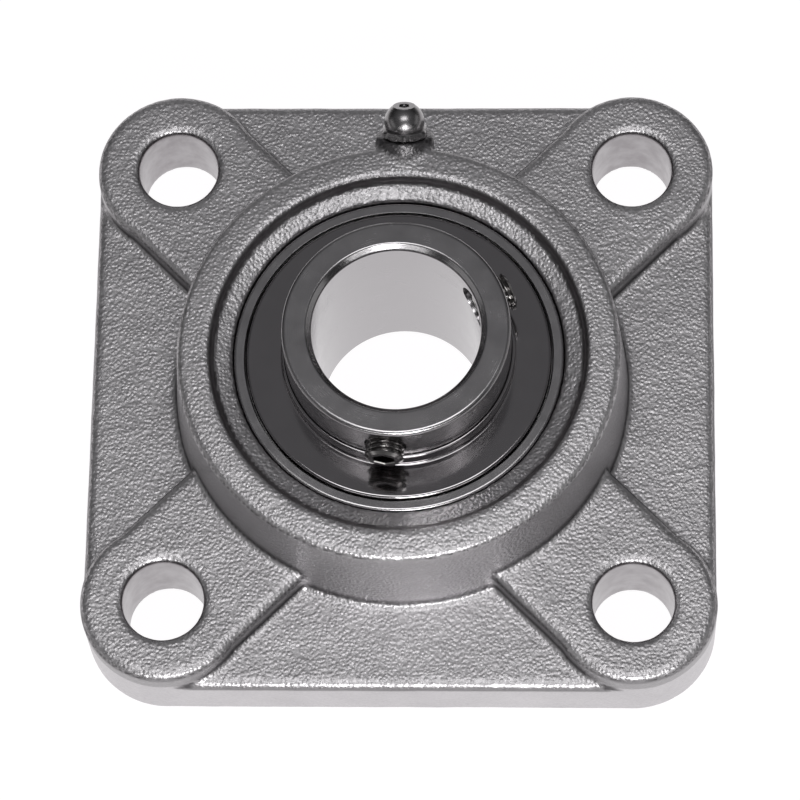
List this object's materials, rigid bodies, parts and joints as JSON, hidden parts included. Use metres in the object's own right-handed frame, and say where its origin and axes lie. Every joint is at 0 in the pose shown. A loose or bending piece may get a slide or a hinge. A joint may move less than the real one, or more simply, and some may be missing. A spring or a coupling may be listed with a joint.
{
  "type": "flange mount bearing",
  "caption": "Square four-bolt flanged bearing unit with a self-aligning insert bearing, set screws, slingers and a grease nipple, for a 25 mm shaft.",
  "frame": {"origin": "centre of the rear mounting face, on the shaft axis", "axes": "+Z along the shaft axis out of the front of the housing, +Y towards the grease nipple, +X towards the locating pin"},
  "size_m": [0.095, 0.095, 0.0358],
  "materials": {
    "cast_stainless": "cast, sandy grain, satin",
    "ground_steel": "ground",
    "slinger_steel": "bright pressed sheet",
    "pressed_steel": "pressed sheet",
    "ball_steel": "polished",
    "screw_steel": "dark machined",
    "nipple_steel": "turned",
    "seal_rubber": "matte"
  },
  "bodies": {
    "housing": {"flange_housing": "cast_stainless", "grease_nipple_body": "nipple_steel", "grease_nipple_spring": "nipple_steel"},
    "nipple_ball": {"grease_nipple_check_ball": "ball_steel"},
    "pin": {"locating_pin": "screw_steel"},
    "insert": {"outer_ring": "ground_steel", "front_seal": "seal_rubber", "front_seal_plate": "pressed_steel", "rear_seal": "seal_rubber", "rear_seal_plate": "pressed_steel"},
    "inner": {"inner_ring": "ground_steel", "front_slinger": "slinger_steel", "rear_slinger": "slinger_steel"},
    "screw_lower": {"set_screw_lower": "screw_steel"},
    "screw_upper": {"set_screw_upper": "screw_steel"},
    "cage": {"cage_front_half": "pressed_steel", "cage_rear_half": "pressed_steel", "cage_rivet_1": "pressed_steel", "cage_rivet_2": "pressed_steel", "cage_rivet_3": "pressed_steel", "cage_rivet_4": "pressed_steel", "cage_rivet_5": "pressed_steel", "cage_rivet_6": "pressed_steel", "cage_rivet_7": "pressed_steel", "cage_rivet_8": "pressed_steel", "cage_rivet_9": "pressed_steel"},
    "rolling_ball_1": {"ball_1": "ball_steel"},
    "rolling_ball_2": {"ball_2": "ball_steel"},
    "rolling_ball_3": {"ball_3": "ball_steel"},
    "rolling_ball_4": {"ball_4": "ball_steel"},
    "rolling_ball_5": {"ball_5": "ball_steel"},
    "rolling_ball_6": {"ball_6": "ball_steel"},
    "rolling_ball_7": {"ball_7": "ball_steel"},
    "rolling_ball_8": {"ball_8": "ball_steel"},
    "rolling_ball_9": {"ball_9": "ball_steel"}
  },
  "joints": [
    {"name": "nipple_valve", "type": "slide", "parent": "housing", "child": "nipple_ball", "axis": [0, -0.7071, -0.7071], "range_m": [0, 0.0008], "stiffness_N_per_m": 200, "springref_m": -0.0005, "deforming": ["grease_nipple_spring"]},
    {"name": "align_about_y", "type": "hinge", "parent": "housing", "child": "pin", "pos_m": [0, 0, 0.016], "axis": [0, 1, 0], "range_deg": [-2, 2]},
    {"name": "align_about_x", "type": "hinge", "parent": "pin", "child": "insert", "pos_m": [0, 0, 0.016], "axis": [1, 0, 0], "range_deg": [-2, 2]},
    {"name": "shaft_spin", "type": "hinge", "parent": "insert", "child": "inner", "pos_m": [0, 0, 0.016], "axis": [0, 0, 1], "continuous": true},
    {"name": "set_screw_lower_travel", "type": "slide", "parent": "inner", "child": "screw_lower", "axis": [-0.0872, -0.9962, 0], "range_m": [-0.001, 0.004]},
    {"name": "set_screw_upper_travel", "type": "slide", "parent": "inner", "child": "screw_upper", "axis": [0.9063, 0.4226, 0], "range_m": [-0.0003, 0.004]},
    {"name": "cage_spin", "type": "hinge", "parent": "insert", "child": "cage", "pos_m": [0, 0, 0.016], "axis": [0, 0, 1], "continuous": true},
    {"name": "ball_1_roll", "type": "hinge", "parent": "cage", "child": "rolling_ball_1", "pos_m": [0.01925, 0, 0.016], "axis": [0, 0, 1], "continuous": true},
    {"name": "ball_2_roll", "type": "hinge", "parent": "cage", "child": "rolling_ball_2", "pos_m": [0.01475, 0.01237, 0.016], "axis": [0, 0, 1], "continuous": true},
    {"name": "ball_3_roll", "type": "hinge", "parent": "cage", "child": "rolling_ball_3", "pos_m": [0.00334, 0.01896, 0.016], "axis": [0, 0, 1], "continuous": true},
    {"name": "ball_4_roll", "type": "hinge", "parent": "cage", "child": "rolling_ball_4", "pos_m": [-0.00962, 0.01667, 0.016], "axis": [0, 0, 1], "continuous": true},
    {"name": "ball_5_roll", "type": "hinge", "parent": "cage", "child": "rolling_ball_5", "pos_m": [-0.01809, 0.00658, 0.016], "axis": [0, 0, 1], "continuous": true},
    {"name": "ball_6_roll", "type": "hinge", "parent": "cage", "child": "rolling_ball_6", "pos_m": [-0.01809, -0.00658, 0.016], "axis": [0, 0, 1], "continuous": true},
    {"name": "ball_7_roll", "type": "hinge", "parent": "cage", "child": "rolling_ball_7", "pos_m": [-0.00962, -0.01667, 0.016], "axis": [0, 0, 1], "continuous": true},
    {"name": "ball_8_roll", "type": "hinge", "parent": "cage", "child": "rolling_ball_8", "pos_m": [0.00334, -0.01896, 0.016], "axis": [0, 0, 1], "continuous": true},
    {"name": "ball_9_roll", "type": "hinge", "parent": "cage", "child": "rolling_ball_9", "pos_m": [0.01475, -0.01237, 0.016], "axis": [0, 0, 1], "continuous": true}
  ],
  "couplings": [
    {"joint": "cage_spin", "follows": "shaft_spin", "ratio": 0.39691},
    {"joint": "ball_1_roll", "follows": "shaft_spin", "ratio": -2.322},
    {"joint": "ball_2_roll", "follows": "shaft_spin", "ratio": -2.322},
    {"joint": "ball_3_roll", "follows": "shaft_spin", "ratio": -2.322},
    {"joint": "ball_4_roll", "follows": "shaft_spin", "ratio": -2.322},
    {"joint": "ball_5_roll", "follows": "shaft_spin", "ratio": -2.322},
    {"joint": "ball_6_roll", "follows": "shaft_spin", "ratio": -2.322},
    {"joint": "ball_7_roll", "follows": "shaft_spin", "ratio": -2.322},
    {"joint": "ball_8_roll", "follows": "shaft_spin", "ratio": -2.322},
    {"joint": "ball_9_roll", "follows": "shaft_spin", "ratio": -2.322}
  ]
}
